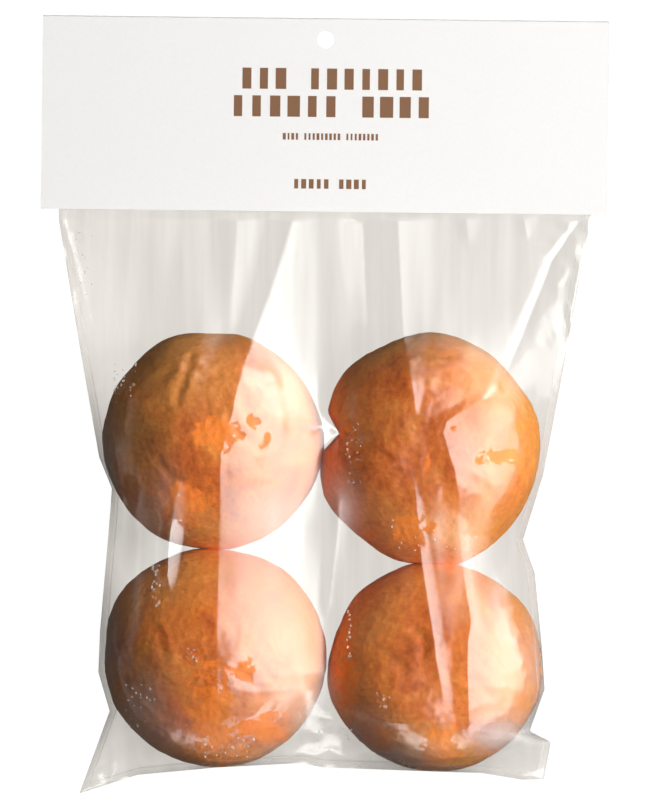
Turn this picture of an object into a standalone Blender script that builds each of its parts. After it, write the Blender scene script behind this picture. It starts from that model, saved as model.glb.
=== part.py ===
"""A clear bag of four brioche burger buns, shut by a folded card header.

The bag lies on its back with the shown side up. +Z is up, +Y runs towards the header, and +X is the
right of the shown side. The origin is under the middle of the whole, on the surface that it lies on.
Sizes are in metres and angles in radians.

The bag is one solid with its contents: an upper film that spans the four domes like a tight tent, and
a lower film that lies under them, closed along the side seams and the bottom weld.
"""

import math
from collections import namedtuple

import bmesh
import bpy
import numpy as np

# Header card, a board folded over the mouth of the bag
CARD_WIDTH = 0.256
CARD_HEIGHT = 0.0875
CARD_BOARD = 0.00045
CARD_FOLD_Y = 0.1744
CARD_TURN = math.radians(-0.65)
HANG_HOLE_RADIUS = 0.004
HANG_HOLE_DROP = 0.0097
HANG_HOLE_SIDES = 40

# The flat neck of the bag, between the two leaves of the card
NECK_THICKNESS = 0.0004
NECK_GAP = 0.0003
NECK_TOP_Y = 0.150
NECK_HALF_WIDTH = 0.1204
NECK_START_Y = 0.084
CARD_THICKNESS = 2 * CARD_BOARD + NECK_THICKNESS + 2 * NECK_GAP
NECK_Z = CARD_THICKNESS / 2

# A bun: where it lies, its half widths, and its height
Bun = namedtuple("Bun", "x y half_width half_length height")
BUNS = [
    Bun(-0.0502, -0.0167, 0.0492, 0.0480, 0.0570),
    Bun(0.0482, -0.0205, 0.0490, 0.0520, 0.0580),
    Bun(-0.0492, -0.1135, 0.0492, 0.0486, 0.0560),
    Bun(0.0486, -0.1187, 0.0478, 0.0458, 0.0565),
]
BUN_WAIST_SHARE = 0.38
BUN_FLAT_SHARE = 0.70
BUN_DOME_POWER = 2.5
BUN_REST_Z = 0.0004
FILM_CLEARANCE = 0.0005

# Outline of the bag seen from above, from the bottom corners up to the neck
LEFT_SEAM = [
    (-0.1110, -0.1760),
    (-0.0972, -0.1385),
    (-0.1022, -0.1210),
    (-0.1015, -0.1030),
    (-0.0972, -0.0527),
    (-0.0961, -0.0380),
    (-0.1018, -0.0240),
    (-0.1105, 0.0257),
    (-0.1198, 0.0800),
    (-NECK_HALF_WIDTH, NECK_START_Y),
]
RIGHT_SEAM = [
    (0.0990, -0.1695),
    (0.1020, -0.1527),
    (0.0924, -0.1478),
    (0.0990, -0.1287),
    (0.0977, -0.1090),
    (0.0945, -0.0762),
    (0.0893, -0.0611),
    (0.0983, -0.0322),
    (0.1055, 0.0060),
    (0.1174, 0.0711),
    (NECK_HALF_WIDTH, NECK_START_Y),
]
BOTTOM_WELD = [
    (-0.1110, -0.1760),
    (-0.0847, -0.1675),
    (-0.0500, -0.1640),
    (-0.0108, -0.1620),
    (-0.0011, -0.1640),
    (0.0421, -0.1655),
    (0.0707, -0.1665),
    (0.0893, -0.1697),
    (0.0990, -0.1695),
]

# Height of the seams: (place along the edge, height)
SIDE_SEAM_HEIGHTS = [
    (-0.1760, 0.0010),
    (-0.1500, 0.0060),
    (-0.1385, 0.0130),
    (-0.1200, 0.0195),
    (-0.0850, 0.0195),
    (-0.0620, 0.0170),
    (-0.0400, 0.0195),
    (0.0050, 0.0215),
    (0.0300, 0.0190),
    (0.0700, 0.0065),
    (NECK_START_Y, NECK_Z),
]
BOTTOM_WELD_HEIGHTS = [
    (-0.1110, 0.0010),
    (-0.0900, 0.0060),
    (-0.0600, 0.0165),
    (-0.0400, 0.0165),
    (0.0000, 0.0110),
    (0.0400, 0.0165),
    (0.0600, 0.0165),
    (0.0850, 0.0080),
    (0.0990, 0.0030),
]
SEAM_THICKNESS = 0.0006

# A long fold in the upper film: its sharp line from the card down as (x, y, width of its straight flank, slope
# of that flank), how far the film leads up to it behind, and whether it stands up with the flank on its right
# or is a valley with the flank on its left
Fold = namedtuple("Fold", "line lead side")
RIDGE, VALLEY = 1, -1
FOLDS = [
    Fold(
        [
            (-0.0135, 0.0878, 0.0122, 0.34),
            (-0.0248, 0.0513, 0.0216, 0.30),
            (-0.0369, 0.0171, 0.0338, 0.24),
            (-0.0473, -0.0221, 0.0441, 0.15),
            (-0.0482, -0.0635, 0.0450, 0.07),
            (-0.0491, -0.1089, 0.0450, 0.11),
            (-0.0491, -0.1557, 0.0405, 0.00),
        ],
        0.016,
        RIDGE,
    ),
    Fold(
        [(0.0176, 0.0878, 0.0117, 0.32), (0.0198, 0.0378, 0.0099, 0.25), (0.0203, 0.0243, 0.0090, 0.00)],
        0.006,
        VALLEY,
    ),
    Fold(
        [(0.0320, 0.0878, 0.0234, 0.26), (0.0347, 0.0310, 0.0131, 0.34), (0.0419, -0.0072, 0.0022, 0.00)],
        0.010,
        RIDGE,
    ),
    Fold(
        [(0.1143, 0.0819, 0.0031, 0.50), (0.0882, 0.0293, 0.0058, 0.50), (0.0743, 0.0027, 0.0027, 0.00)],
        0.007,
        VALLEY,
    ),
]
FOLD_FALL_POWER = 1.5

# Cells of the film's net, across the bag and along it
CELLS_ACROSS = 42
CELLS_ALONG = 50
NECK_CELLS = 2
EDGE_CROWDING = 0.45

# Passes that draw the film tight: mostly lengthways, sagging a little and more between the two columns of buns
TIGHTENING_PASSES = 3000
PULL_ACROSS = 0.25
SAG = 2.0
VALLEY_X, VALLEY_WIDTH, VALLEY_SAG = -0.0010, 0.0060, 3.0
VALLEY_START_Y, VALLEY_FADE = 0.040, 0.030

FOLD_BEVEL_SHARE = 0.45
CUT_PAST = 0.010
SHARP_ANGLE = math.radians(50)
BAG_ALPHA = 0.6
FILM_ROUGHNESS = 0.15
CARD_ROUGHNESS = 0.55
CARD_COLOUR = (0.90, 0.89, 0.88, 1.0)
BAG_COLOUR = (0.78, 0.46, 0.24, 1.0)


def clear_scene():
    for obj in list(bpy.data.objects):
        bpy.data.objects.remove(obj)


def new_collection(name):
    collection = bpy.data.collections.new(name)
    bpy.context.scene.collection.children.link(collection)
    return collection


def material(name, colour, roughness, alpha=1.0):
    made = bpy.data.materials.new(name)
    made.use_nodes = True
    shader = made.node_tree.nodes["Principled BSDF"]
    shader.inputs["Base Color"].default_value = colour
    shader.inputs["Roughness"].default_value = roughness
    shader.inputs["Metallic"].default_value = 0.0
    shader.inputs["Alpha"].default_value = alpha
    made.diffuse_color = (*colour[:3], alpha)
    return made


def object_from(bm, name, collection):
    mesh = bpy.data.meshes.new(name)
    bm.to_mesh(mesh)
    bm.free()
    obj = bpy.data.objects.new(name, mesh)
    collection.objects.link(obj)
    return obj


def crowded_shares(cells):
    """Shares from 0 to 1 that lie closer together at both ends."""
    even = np.linspace(0.0, 1.0, cells + 1)
    bunched = 0.5 - 0.5 * np.cos(math.pi * even)
    return even + EDGE_CROWDING * (bunched - even)


def along_line(corners, shares):
    """Points at these shares of a line's length. The point nearest to each corner moves onto it."""
    corners = np.array(corners)
    run = np.append(0.0, np.cumsum(np.hypot(*np.diff(corners, axis=0).T)))
    reached = run / run[-1]
    points = np.stack([np.interp(shares, reached, corners[:, axis]) for axis in (0, 1)], axis=1)
    for share, corner in zip(reached, corners):
        points[np.abs(shares - share).argmin()] = corner
    return points


def net_places():
    """Places of the film's points seen from above, [along, across], blended inwards from its four edges."""
    across = crowded_shares(CELLS_ACROSS)
    along = np.linspace(0.0, 1.0, CELLS_ALONG + 1)
    left, right = along_line(LEFT_SEAM, along), along_line(RIGHT_SEAM, along)
    bottom = along_line(BOTTOM_WELD, across)
    top = along_line([LEFT_SEAM[-1], RIGHT_SEAM[-1]], across)
    u, v = across[None, :, None], along[:, None, None]
    places = (1 - u) * left[:, None] + u * right[:, None] + (1 - v) * bottom[None] + v * top[None]
    places -= (1 - u) * (1 - v) * bottom[0] + u * (1 - v) * bottom[-1]
    places -= (1 - u) * v * top[0] + u * v * top[-1]
    return places


def reach_from_centre(bun, x, y):
    """How far a place is from a bun's centre, as a share of the bun's reach that way."""
    return np.hypot((x - bun.x) / bun.half_width, (y - bun.y) / bun.half_length)


def dome_height(bun, x, y):
    """Height of a bun's upper crust, or minus infinity beside it."""
    reach = reach_from_centre(bun, x, y)
    rise = np.sqrt(np.clip(1 - reach**BUN_DOME_POWER, 0, 1))
    height = bun.height * (BUN_WAIST_SHARE + (1 - BUN_WAIST_SHARE) * rise)
    return np.where(reach < 1, BUN_REST_Z + height, -np.inf)


def base_height(bun, x, y):
    """Height of a bun's underside, flat in the middle and round to its waist, or infinity beside it."""
    reach = reach_from_centre(bun, x, y)
    rounding = np.clip((reach - BUN_FLAT_SHARE) / (1 - BUN_FLAT_SHARE), 0, 1)
    height = bun.height * BUN_WAIST_SHARE * (1 - np.sqrt(1 - rounding**2))
    return np.where(reach < 1, height, np.inf)


def drawn_tight(heights, lowest, highest, sinking):
    """A film held at its edges, drawn mostly lengthways, that sinks a little where no bun or table stops it."""
    for _ in range(TIGHTENING_PASSES):
        sideways = (heights[1:-1, :-2] + heights[1:-1, 2:]) / 2
        lengthways = (heights[:-2, 1:-1] + heights[2:, 1:-1]) / 2
        drawn = PULL_ACROSS * sideways + (1 - PULL_ACROSS) * lengthways - sinking[1:-1, 1:-1]
        heights[1:-1, 1:-1] = np.clip(drawn, lowest[1:-1, 1:-1], highest[1:-1, 1:-1])
    return heights


def film_sinking(places):
    """How far the upper film sinks in a pass, more in the valley between the two columns of buns."""
    x, y = places[..., 0], places[..., 1]
    valley = np.exp(-(((x - VALLEY_X) / VALLEY_WIDTH) ** 2)) * np.clip((VALLEY_START_Y - y) / VALLEY_FADE, 0, 1)
    cell = (LEFT_SEAM[-1][1] - LEFT_SEAM[0][1]) / CELLS_ALONG
    return (SAG + VALLEY_SAG * valley) * cell**2 / 2


def fold_relief(places):
    """How far the long folds stand off the film: a straight flank on one side and a softer lead behind."""
    x, y = places[..., 0], places[..., 1]
    relief = np.zeros(x.shape)
    for fold in FOLDS:
        line = np.array(fold.line)[::-1]
        inside = (y > line[0, 1]) & (y < line[-1, 1])
        aside = fold.side * (x - np.interp(y, line[:, 1], line[:, 0]))
        width, slope = (np.interp(y, line[:, 1], line[:, column]) for column in (2, 3))
        flank = np.clip(1 - aside / width, 0, 1) ** FOLD_FALL_POWER
        lead = np.clip(1 + aside / fold.lead, 0, 1) ** 2
        height = fold.side * slope * width / FOLD_FALL_POWER
        relief += np.where(inside, height * np.where(aside > 0, flank, lead), 0)
    return relief


def film_heights(places):
    """Heights of the upper and the lower film over the net."""
    x, y = places[..., 0], places[..., 1]
    seam = np.interp(y, *np.array(SIDE_SEAM_HEIGHTS).T)
    seam[0] = np.interp(x[0], *np.array(BOTTOM_WELD_HEIGHTS).T)
    seam[-1] = NECK_Z
    crust = np.max([dome_height(bun, x, y) for bun in BUNS], axis=0) + FILM_CLEARANCE
    under = np.min([base_height(bun, x, y) for bun in BUNS], axis=0)
    table, sky = np.zeros_like(seam), np.full_like(seam, np.inf)
    lower = drawn_tight(seam.copy(), table, under, table)
    upper = drawn_tight(seam.copy(), np.maximum(crust, lower), sky, film_sinking(places))
    upper[1:-1, 1:-1] += fold_relief(places)[1:-1, 1:-1]
    upper = np.maximum(upper, crust)
    half = np.full_like(seam, SEAM_THICKNESS / 2)
    half[-1] = NECK_THICKNESS / 2
    middle = np.maximum((upper + lower) / 2, half)
    return np.maximum(upper, middle + half), np.minimum(lower, middle - half)


def with_neck(places, upper, lower):
    """Adds the flat neck's rows to the net, from the foot of the card up between its leaves."""
    rises = np.linspace(NECK_START_Y, NECK_TOP_Y, NECK_CELLS + 1)[1:]
    neck = np.repeat(places[-1:], NECK_CELLS, axis=0)
    neck[..., 1] = rises[:, None]
    flat = np.full(neck.shape[:2], NECK_Z)
    places = np.concatenate([places, neck])
    upper = np.concatenate([upper, flat + NECK_THICKNESS / 2])
    lower = np.concatenate([lower, flat - NECK_THICKNESS / 2])
    return places, upper, lower


def add_film(bm, places, heights):
    """One film of the bag: a grid whose points are moved to their places."""
    rows, columns = heights.shape
    grid = bmesh.ops.create_grid(bm, x_segments=columns - 1, y_segments=rows - 1, size=1.0)
    for vert in grid["verts"]:
        column = round((vert.co.x + 1) / 2 * (columns - 1))
        row = round((vert.co.y + 1) / 2 * (rows - 1))
        vert.co = (*places[row, column], heights[row, column])
    return grid["verts"]


def make_bag(collection):
    places = net_places()
    places, upper, lower = with_neck(places, *film_heights(places))
    bm = bmesh.new()
    add_film(bm, places, upper)
    under = add_film(bm, places, lower)
    bmesh.ops.reverse_faces(bm, faces=list({face for vert in under for face in vert.link_faces}))
    bmesh.ops.bridge_loops(bm, edges=[edge for edge in bm.edges if edge.is_boundary])
    bag = object_from(bm, "bag", collection)
    bag.data.shade_smooth()
    bag.data.set_sharp_from_angle(angle=SHARP_ANGLE)
    bag.data.materials.append(material("clear film over brown buns", BAG_COLOUR, FILM_ROUGHNESS, BAG_ALPHA))
    return bag


def box(name, low, high, collection):
    """A box between two corners."""
    bm = bmesh.new()
    bmesh.ops.create_cube(bm, size=1.0)
    low, high = np.array(low), np.array(high)
    for vert in bm.verts:
        vert.co = (low + high) / 2 + (high - low) * np.array(vert.co)
    return object_from(bm, name, collection)


def cut_from(obj, cutter):
    """Cuts one object out of another, and leaves the cutter as a wire that isn't rendered."""
    cutter.display_type = "WIRE"
    cutter.hide_render = True
    cut = obj.modifiers.new("cut " + cutter.name, "BOOLEAN")
    cut.operation = "DIFFERENCE"
    cut.solver = "EXACT"
    cut.object = cutter


def make_card(collection, cutters):
    """The header: a round fold along its top, two leaves with the neck's slot between them, a hang hole."""
    half = CARD_WIDTH / 2
    foot_y = CARD_FOLD_Y - CARD_HEIGHT
    middle_y = CARD_FOLD_Y - CARD_HEIGHT / 2
    low, high = (-half, foot_y - middle_y, 0), (half, CARD_FOLD_Y - middle_y, CARD_THICKNESS)
    card = box("header_card", low, high, collection)

    bm = bmesh.new()
    bm.from_mesh(card.data)
    fold_edges = [
        edge
        for edge in bm.edges
        if all(vert.co.y > 0 for vert in edge.verts) and abs(edge.verts[0].co.x - edge.verts[1].co.x) > half
    ]
    bmesh.ops.bevel(
        bm,
        geom=fold_edges,
        offset=CARD_THICKNESS * FOLD_BEVEL_SHARE,
        offset_type="OFFSET",
        affect="EDGES",
        segments=4,
        profile=0.5,
        material=-1,
    )
    bm.to_mesh(card.data)
    bm.free()

    slot = box(
        "neck slot",
        (-half - CUT_PAST, low[1] - CUT_PAST, CARD_BOARD),
        (half + CUT_PAST, high[1] - 2 * CARD_BOARD, CARD_THICKNESS - CARD_BOARD),
        cutters,
    )
    bm = bmesh.new()
    bmesh.ops.create_cone(
        bm,
        cap_ends=True,
        segments=HANG_HOLE_SIDES,
        radius1=HANG_HOLE_RADIUS,
        radius2=HANG_HOLE_RADIUS,
        depth=2 * CUT_PAST,
    )
    hole = object_from(bm, "hang hole", cutters)
    hole.location = (0, high[1] - HANG_HOLE_DROP, 0)
    for cutter in (slot, hole):
        cutter.parent = card
        cut_from(card, cutter)

    card.location = (0, middle_y, 0)
    card.rotation_euler = (0, 0, CARD_TURN)
    card.data.materials.append(material("white board", CARD_COLOUR, CARD_ROUGHNESS))
    return card


def main():
    clear_scene()
    pack = new_collection("bag of brioche burger buns")
    cutters = new_collection("cutters")
    make_bag(pack)
    make_card(pack, cutters)


main()
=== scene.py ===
import math
import random
from collections import namedtuple

import bmesh
import bpy
import numpy as np
from mathutils import Matrix, Vector, noise
from mathutils.bvhtree import BVHTree


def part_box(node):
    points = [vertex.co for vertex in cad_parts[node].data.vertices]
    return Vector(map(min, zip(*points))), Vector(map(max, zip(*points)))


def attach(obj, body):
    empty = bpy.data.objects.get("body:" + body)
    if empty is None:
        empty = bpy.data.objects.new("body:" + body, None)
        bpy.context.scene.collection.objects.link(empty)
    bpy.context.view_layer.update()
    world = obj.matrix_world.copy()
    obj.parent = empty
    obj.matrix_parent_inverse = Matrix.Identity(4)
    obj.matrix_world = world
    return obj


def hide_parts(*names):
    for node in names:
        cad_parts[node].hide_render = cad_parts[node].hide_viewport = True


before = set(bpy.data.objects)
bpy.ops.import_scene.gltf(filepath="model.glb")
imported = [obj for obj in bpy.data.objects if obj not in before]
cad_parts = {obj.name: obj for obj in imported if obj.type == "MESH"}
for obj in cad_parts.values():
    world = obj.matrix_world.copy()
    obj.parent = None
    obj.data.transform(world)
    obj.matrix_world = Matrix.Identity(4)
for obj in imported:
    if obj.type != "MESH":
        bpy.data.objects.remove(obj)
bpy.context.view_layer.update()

# Buns
# Four brioche burger buns, baked on a tray as free-standing rounds: a domed crust glazed with egg, brown on
# top and golden round the side, over a flat pale base. Each is shaped by hand, so none is truly round.
Bun = namedtuple("Bun", "name x y half_width half_length height seed")
BUNS = [
    Bun("bun_upper_left", -0.0502, -0.0167, 0.0499, 0.0487, 0.0566, 1),
    Bun("bun_upper_right", 0.0480, -0.0205, 0.0490, 0.0524, 0.0576, 2),
    Bun("bun_lower_left", -0.0499, -0.1141, 0.0501, 0.0492, 0.0556, 3),
    Bun("bun_lower_right", 0.0494, -0.1185, 0.0482, 0.0468, 0.0561, 4),
]
BUN_REST_Z = 0.0004
WAIST_SHARE = 0.38
FLAT_SHARE = 0.70
DOME_POWER = 2.5
DOME_STEPS = 84
BASE_STEPS = 36
TURN_STEPS = 200
OUTLINE_UNEVEN = 0.014
LUMP_SIZE, LUMP_HEIGHT = 0.026, 0.0014
WRINKLE_SIZE, WRINKLE_HEIGHT = 0.0085, 0.00050
BLISTER_SIZE, BLISTER_HEIGHT = 0.0024, 0.00012
WRINKLE_MIDDLE = 0.35
CREASE_RIM_SHARE, CREASE_RIM_AT = 0.35, 2.2
# What sets one bun's unevenness apart from the next one's
SEED_STEPS = (3.7, 1.9, 5.3)
OUTLINE_WAVES, OUTLINE_SEED_STEP = 1.3, 4.1
# Bulges and dents round each bun's side: (bun, direction and half width in degrees, share of the reach)
BULGES = [
    (1, 112, 22, 0.024),
    (1, 138, 12, -0.014),
    (1, 154, 10, 0.010),
    (1, 88, 11, -0.010),
    (1, 60, 20, -0.014),
    (1, 205, 24, 0.010),
    (2, 171, 10, -0.150),
    (2, 141, 26, 0.050),
    (2, 45, 34, -0.030),
    (2, 201, 24, 0.065),
    (2, 235, 18, -0.016),
    (2, 285, 28, 0.012),
    (3, 150, 24, 0.010),
    (3, 35, 26, 0.012),
    (3, 225, 20, -0.008),
    (3, 300, 26, -0.010),
    (4, 155, 22, -0.016),
    (4, 40, 26, 0.012),
    (4, 190, 18, 0.018),
    (4, 300, 28, 0.012),
]
# A dent deeper than this is a sharp notch, not a soft hollow
NOTCH = -0.1
# Where the egg glaze is thin and the crust golden, and one patch of painted light: (x, y, half width, half
# length, share)
GOLDEN_AND_LIT_PATCHES = [
    (-0.0660, 0.0140, 0.0300, 0.0160, 1.0),
    (-0.0890, -0.0080, 0.0130, 0.0220, 0.6),
    (-0.0560, -0.0560, 0.0200, 0.0100, 0.3),
    (0.0780, 0.0060, 0.0200, 0.0260, 0.7),
    (0.0480, 0.0270, 0.0200, 0.0080, 0.5),
    (0.0600, -0.0560, 0.0280, 0.0140, 0.5),
    (-0.0150, -0.1180, 0.0150, 0.0320, 0.4),
    (0.0800, -0.1280, 0.0180, 0.0260, 0.6),
    (0.0120, -0.1000, 0.0140, 0.0180, 0.5),
    # Painted light on the front of the lower right bun, which is turned away from the lights
    (0.0510, -0.1540, 0.0150, 0.0090, 1.0),
]
# Painted shade on the crust, on the left buns' left and lower sides: (x, y, half width, half length, share)
CRUST_PAINTED_SHADE_PATCHES = [
    (-0.0800, -0.0170, 0.0105, 0.0160, 0.9),
    (-0.0800, -0.1215, 0.0120, 0.0190, 1.0),
    (-0.0490, -0.1400, 0.0170, 0.0170, 0.4),
]
# Creases in the crust: (bun, depth, half width, corners seen from above)
CREASES = [
    (1, 0.00067, 0.0017, [(-0.0600, 0.0205), (-0.0625, 0.0130), (-0.0655, 0.0060), (-0.0660, 0.0010)]),
    (1, 0.00050, 0.0016, [(-0.0605, 0.0165), (-0.0540, 0.0125), (-0.0480, 0.0130)]),
    (1, 0.00046, 0.0019, [(-0.0380, 0.0060), (-0.0350, -0.0030), (-0.0300, -0.0080), (-0.0240, -0.0100)]),
    (1, 0.00046, 0.0019, [(-0.0430, -0.0060), (-0.0370, -0.0150), (-0.0300, -0.0190)]),
    (1, 0.00042, 0.0016, [(-0.0750, -0.0250), (-0.0690, -0.0330), (-0.0600, -0.0370)]),
    (1, 0.00038, 0.0022, [(-0.0850, 0.0060), (-0.0760, 0.0090), (-0.0700, 0.0150)]),
    (2, 0.00059, 0.0017, [(0.0470, 0.0240), (0.0530, 0.0215), (0.0600, 0.0225), (0.0660, 0.0190)]),
    (2, 0.00042, 0.0016, [(0.0420, 0.0180), (0.0490, 0.0170), (0.0540, 0.0140)]),
    (2, 0.00042, 0.0020, [(0.0620, -0.0330), (0.0700, -0.0360), (0.0760, -0.0420)]),
    (2, 0.00038, 0.0020, [(0.0120, -0.0230), (0.0200, -0.0200), (0.0270, -0.0240)]),
    (3, 0.00042, 0.0020, [(-0.0400, -0.1180), (-0.0330, -0.1230), (-0.0280, -0.1300)]),
    (3, 0.00038, 0.0019, [(-0.0800, -0.0950), (-0.0740, -0.1040), (-0.0720, -0.1130)]),
    (4, 0.00055, 0.0019, [(0.0400, -0.1010), (0.0450, -0.1060), (0.0440, -0.1120)]),
    (4, 0.00042, 0.0020, [(0.0230, -0.1090), (0.0300, -0.1130), (0.0350, -0.1200)]),
    (4, 0.00042, 0.0020, [(0.0620, -0.1230), (0.0690, -0.1250), (0.0740, -0.1310)]),
]

# Where grease and steam make the film cling to the crust, wet and clear: (x, y, half width, half length)
WET_PATCHES = [
    (-0.0474, -0.0130, 0.0130, 0.0090),
    (-0.0325, -0.0085, 0.0034, 0.0056),
    (-0.0268, -0.0165, 0.0026, 0.0060),
    (0.0780, -0.0234, 0.0110, 0.0050),
    (0.0889, -0.0106, 0.0040, 0.0042),
    (0.0576, -0.0108, 0.0018, 0.0018),
    (0.0461, -0.0266, 0.0016, 0.0070),
    (0.0390, -0.0570, 0.0110, 0.0110),
    (-0.0640, -0.0450, 0.0160, 0.0130),
    (-0.0500, -0.1400, 0.0130, 0.0270),
    (-0.0268, -0.1460, 0.0160, 0.0090),
    (-0.0365, -0.1197, 0.0070, 0.0065),
    (0.0515, -0.1530, 0.0110, 0.0150),
    (0.0218, -0.1497, 0.0110, 0.0070),
    (0.0754, -0.1557, 0.0045, 0.0030),
    (0.0104, -0.1246, 0.0065, 0.0190),
]


def crust_relief(place, seed):
    """How far the crust stands out of its smooth form: broad lumps, soft wrinkles and fine blisters."""
    shift = Vector([seed * step for step in SEED_STEPS])
    lumps = noise.noise(place / LUMP_SIZE + shift) * LUMP_HEIGHT
    wrinkles = (WRINKLE_MIDDLE - abs(noise.noise(place / WRINKLE_SIZE + shift))) * WRINKLE_HEIGHT
    blisters = noise.noise(place / BLISTER_SIZE + shift) * BLISTER_HEIGHT
    return lumps + wrinkles + blisters


def bulge(turn, seed):
    """How much farther than its round form a bun reaches in a direction."""
    direction = Vector((math.cos(turn), math.sin(turn), seed * OUTLINE_SEED_STEP))
    share = OUTLINE_UNEVEN * noise.noise(direction * OUTLINE_WAVES)
    for bun, middle, half_width, height in BULGES:
        if bun == seed:
            aside = abs((math.degrees(turn) - middle + 180) % 360 - 180)
            near = max(0.0, 1 - aside / half_width)
            share += height * (near if height < NOTCH else near * near * (3 - 2 * near))
    return share


def crease_depths(points, seed):
    """How deep each point lies in a crease of the crust, with a low rim on both sides of it."""
    depths = np.zeros(len(points))
    for bun, depth, half_width, corners in CREASES:
        if bun != seed:
            continue
        nearest = np.full(len(points), np.inf)
        for start, end in zip(np.array(corners), np.array(corners[1:])):
            run = end - start
            along = np.clip((points - start) @ run / (run @ run), 0, 1)
            nearest = np.minimum(nearest, np.hypot(*(points - start - along[:, None] * run).T))
        reach = nearest / half_width
        rim = CREASE_RIM_SHARE * np.exp(-((reach - CREASE_RIM_AT) ** 2))
        depths += depth * (np.exp(-(reach**2)) - rim)
    return depths


def wetness(places):
    """1 in the middle of a wet patch, 0 at its edge and less outside it."""
    wet = np.full(places.shape[:2], -1.0)
    for x, y, half_width, half_length in WET_PATCHES:
        reach = np.hypot((places[..., 0] - x) / half_width, (places[..., 1] - y) / half_length)
        wet = np.maximum(wet, 1 - reach)
    return wet


def painted(places, patches):
    """A soft share of each place's cover by some patches."""
    cover = np.zeros(places.shape[:2])
    for x, y, half_width, half_length, share in patches:
        reach = ((places[..., 0] - x) / half_width) ** 2 + ((places[..., 1] - y) / half_length) ** 2
        cover = np.maximum(cover, share * np.exp(-reach))
    return cover


def finished(bm, name, smooth=True):
    """The object that a finished bmesh becomes, at the origin."""
    mesh = bpy.data.meshes.new(name)
    bm.to_mesh(mesh)
    bm.free()
    if smooth:
        mesh.shade_smooth()
    obj = bpy.data.objects.new(name, mesh)
    bpy.context.scene.collection.objects.link(obj)
    return obj


def make_bun(bun):
    """Spins a bun's side view round its middle, then makes its outline and its crust uneven."""
    side = []
    for step in range(DOME_STEPS + 1):
        angle = math.pi / 2 * step / DOME_STEPS
        side.append((math.sin(angle) ** (2 / DOME_POWER), WAIST_SHARE + (1 - WAIST_SHARE) * math.cos(angle)))
    for step in range(1, BASE_STEPS + 1):
        angle = math.pi / 2 * (1 - step / BASE_STEPS)
        side.append((FLAT_SHARE + (1 - FLAT_SHARE) * math.sin(angle), WAIST_SHARE * (1 - math.cos(angle))))
    side.append((0.0, 0.0))
    bm = bmesh.new()
    verts = [bm.verts.new((reach, 0, rise)) for reach, rise in side]
    edges = [bm.edges.new(pair) for pair in zip(verts, verts[1:])]
    bmesh.ops.spin(
        bm,
        geom=verts + edges,
        cent=(0, 0, 0),
        axis=(0, 0, 1),
        angle=math.tau,
        steps=TURN_STEPS,
        use_merge=True,
    )
    bmesh.ops.remove_doubles(bm, verts=bm.verts, dist=1e-6)
    bmesh.ops.recalc_face_normals(bm, faces=bm.faces)
    for vert in bm.verts:
        reach = min(vert.co.xy.length, 1.0)
        swell = 1 + bulge(math.atan2(vert.co.y, vert.co.x), bun.seed) * reach**2
        vert.co.x = bun.x + vert.co.x * bun.half_width * swell
        vert.co.y = bun.y + vert.co.y * bun.half_length * swell
        vert.co.z = BUN_REST_Z + vert.co.z * bun.height
    spots = np.array([[vert.co.xy for vert in bm.verts]])
    # Vertex shares: the wet patches, the golden places with one patch of painted light, and painted shade on
    # the crust
    for name, shares in (
        ("wet", wetness(spots)),
        ("golden", painted(spots, GOLDEN_AND_LIT_PATCHES)),
        ("crust_painted_shade", painted(spots, CRUST_PAINTED_SHADE_PATCHES)),
    ):
        layer = bm.verts.layers.float.new(name)
        for vert, share in zip(bm.verts, shares[0]):
            vert[layer] = share
    bm.normal_update()
    depths = crease_depths(np.array([vert.co.xy for vert in bm.verts]), bun.seed)
    moves = [
        vert.normal * (crust_relief(vert.co, bun.seed) - depth * max(vert.normal.z, 0.0))
        for vert, depth in zip(bm.verts, depths)
    ]
    for vert, move in zip(bm.verts, moves):
        vert.co += move
        vert.co.z = max(vert.co.z, BUN_REST_Z / 2)
    return finished(bm, bun.name)


def feed(tree, socket, value):
    """Gives an input a plain value or another node's output."""
    if isinstance(value, bpy.types.NodeSocket):
        tree.links.new(value, socket)
    else:
        socket.default_value = value


def add_node(tree, kind, settings=(), **inputs):
    """A shader node with some settings and some inputs fed."""
    node = tree.nodes.new(kind)
    for name, value in dict(settings).items():
        setattr(node, name, value)
    for name, value in inputs.items():
        feed(tree, node.inputs[name.replace("_", " ")], value)
    return node


def attribute(tree, name):
    """The value of a vertex attribute."""
    return add_node(tree, "ShaderNodeAttribute", {"attribute_name": name}).outputs["Fac"]


def object_place(tree):
    """The place on the object, in its own coordinates."""
    return tree.nodes.new("ShaderNodeTexCoord").outputs["Object"]


def stretched(tree, place, shares):
    """Places with each axis multiplied by a share."""
    node = add_node(tree, "ShaderNodeVectorMath", {"operation": "MULTIPLY"})
    for socket, value in zip(node.inputs, (place, shares)):
        feed(tree, socket, value)
    return node.outputs["Vector"]


def mottling(tree, place, scale, detail, roughness, distortion=0.0):
    """A noise from 0 to 1."""
    return add_node(
        tree,
        "ShaderNodeTexNoise",
        Vector=place,
        Scale=scale,
        Detail=detail,
        Roughness=roughness,
        Distortion=distortion,
    ).outputs["Fac"]


def maths(tree, operation, *values, clamp=False):
    """The result of one sum on up to three values."""
    node = add_node(tree, "ShaderNodeMath", {"operation": operation, "use_clamp": clamp})
    for socket, value in zip(node.inputs, values):
        feed(tree, socket, value)
    return node.outputs["Value"]


def rescaled(tree, value, low, high, to_low=0.0, to_high=1.0):
    """A value moved from one range to another and kept within it."""
    node = add_node(
        tree,
        "ShaderNodeMapRange",
        Value=value,
        From_Min=low,
        From_Max=high,
        To_Min=to_low,
        To_Max=to_high,
    )
    return node.outputs["Result"]


def colour_ramp(tree, value, *stops):
    """A colour ramp through stops, each a position and three colour shares."""
    node = add_node(tree, "ShaderNodeValToRGB", Fac=value)
    elements = node.color_ramp.elements
    elements[0].position, elements[1].position = stops[0][0], stops[-1][0]
    for stop in stops[1:-1]:
        elements.new(stop[0])
    for element, stop in zip(elements, stops):
        element.color = (*stop[1:], 1)
    return node.outputs["Color"]


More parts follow.
